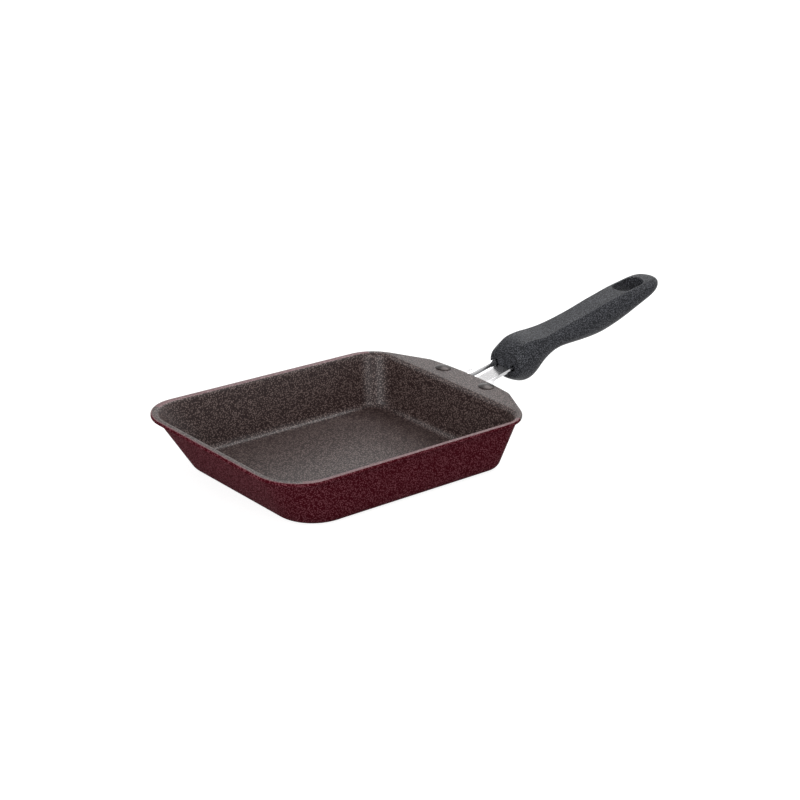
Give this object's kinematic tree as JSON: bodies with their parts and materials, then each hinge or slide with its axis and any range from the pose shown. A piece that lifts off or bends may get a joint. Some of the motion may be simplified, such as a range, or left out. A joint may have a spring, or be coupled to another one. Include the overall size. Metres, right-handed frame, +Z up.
{
  "type": "tamagoyaki pan",
  "caption": "Rectangular rolled-omelette pan with sloped far wall, riveted steel bracket and black moulded grip.",
  "frame": {"origin": "underside of the pan's flat base, under the middle of the lip's rectangle", "axes": "+X along the handle, away from the pan; +Z up, out of the pan's mouth; +Y across the pan, to the left seen from the handle's end looking away"},
  "size_m": [0.363, 0.14, 0.0714],
  "materials": {
    "coated_pan": "baked maroon finish outside, grey non-stick coating inside",
    "bracket_steel": "polished stainless steel",
    "rivet_metal": "satin",
    "grip_plastic": "matte black moulding",
    "zinc_steel": "bright zinc plating"
  },
  "bodies": {
    "root": {"pan_body": "coated_pan", "handle_bracket": "bracket_steel", "rivet_left": "rivet_metal", "rivet_right": "rivet_metal", "handle_grip": "grip_plastic", "handle_bolt": "zinc_steel", "flat_washer": "zinc_steel", "spring_washer": "zinc_steel", "handle_nut": "zinc_steel"}
  },
  "joints": []
}
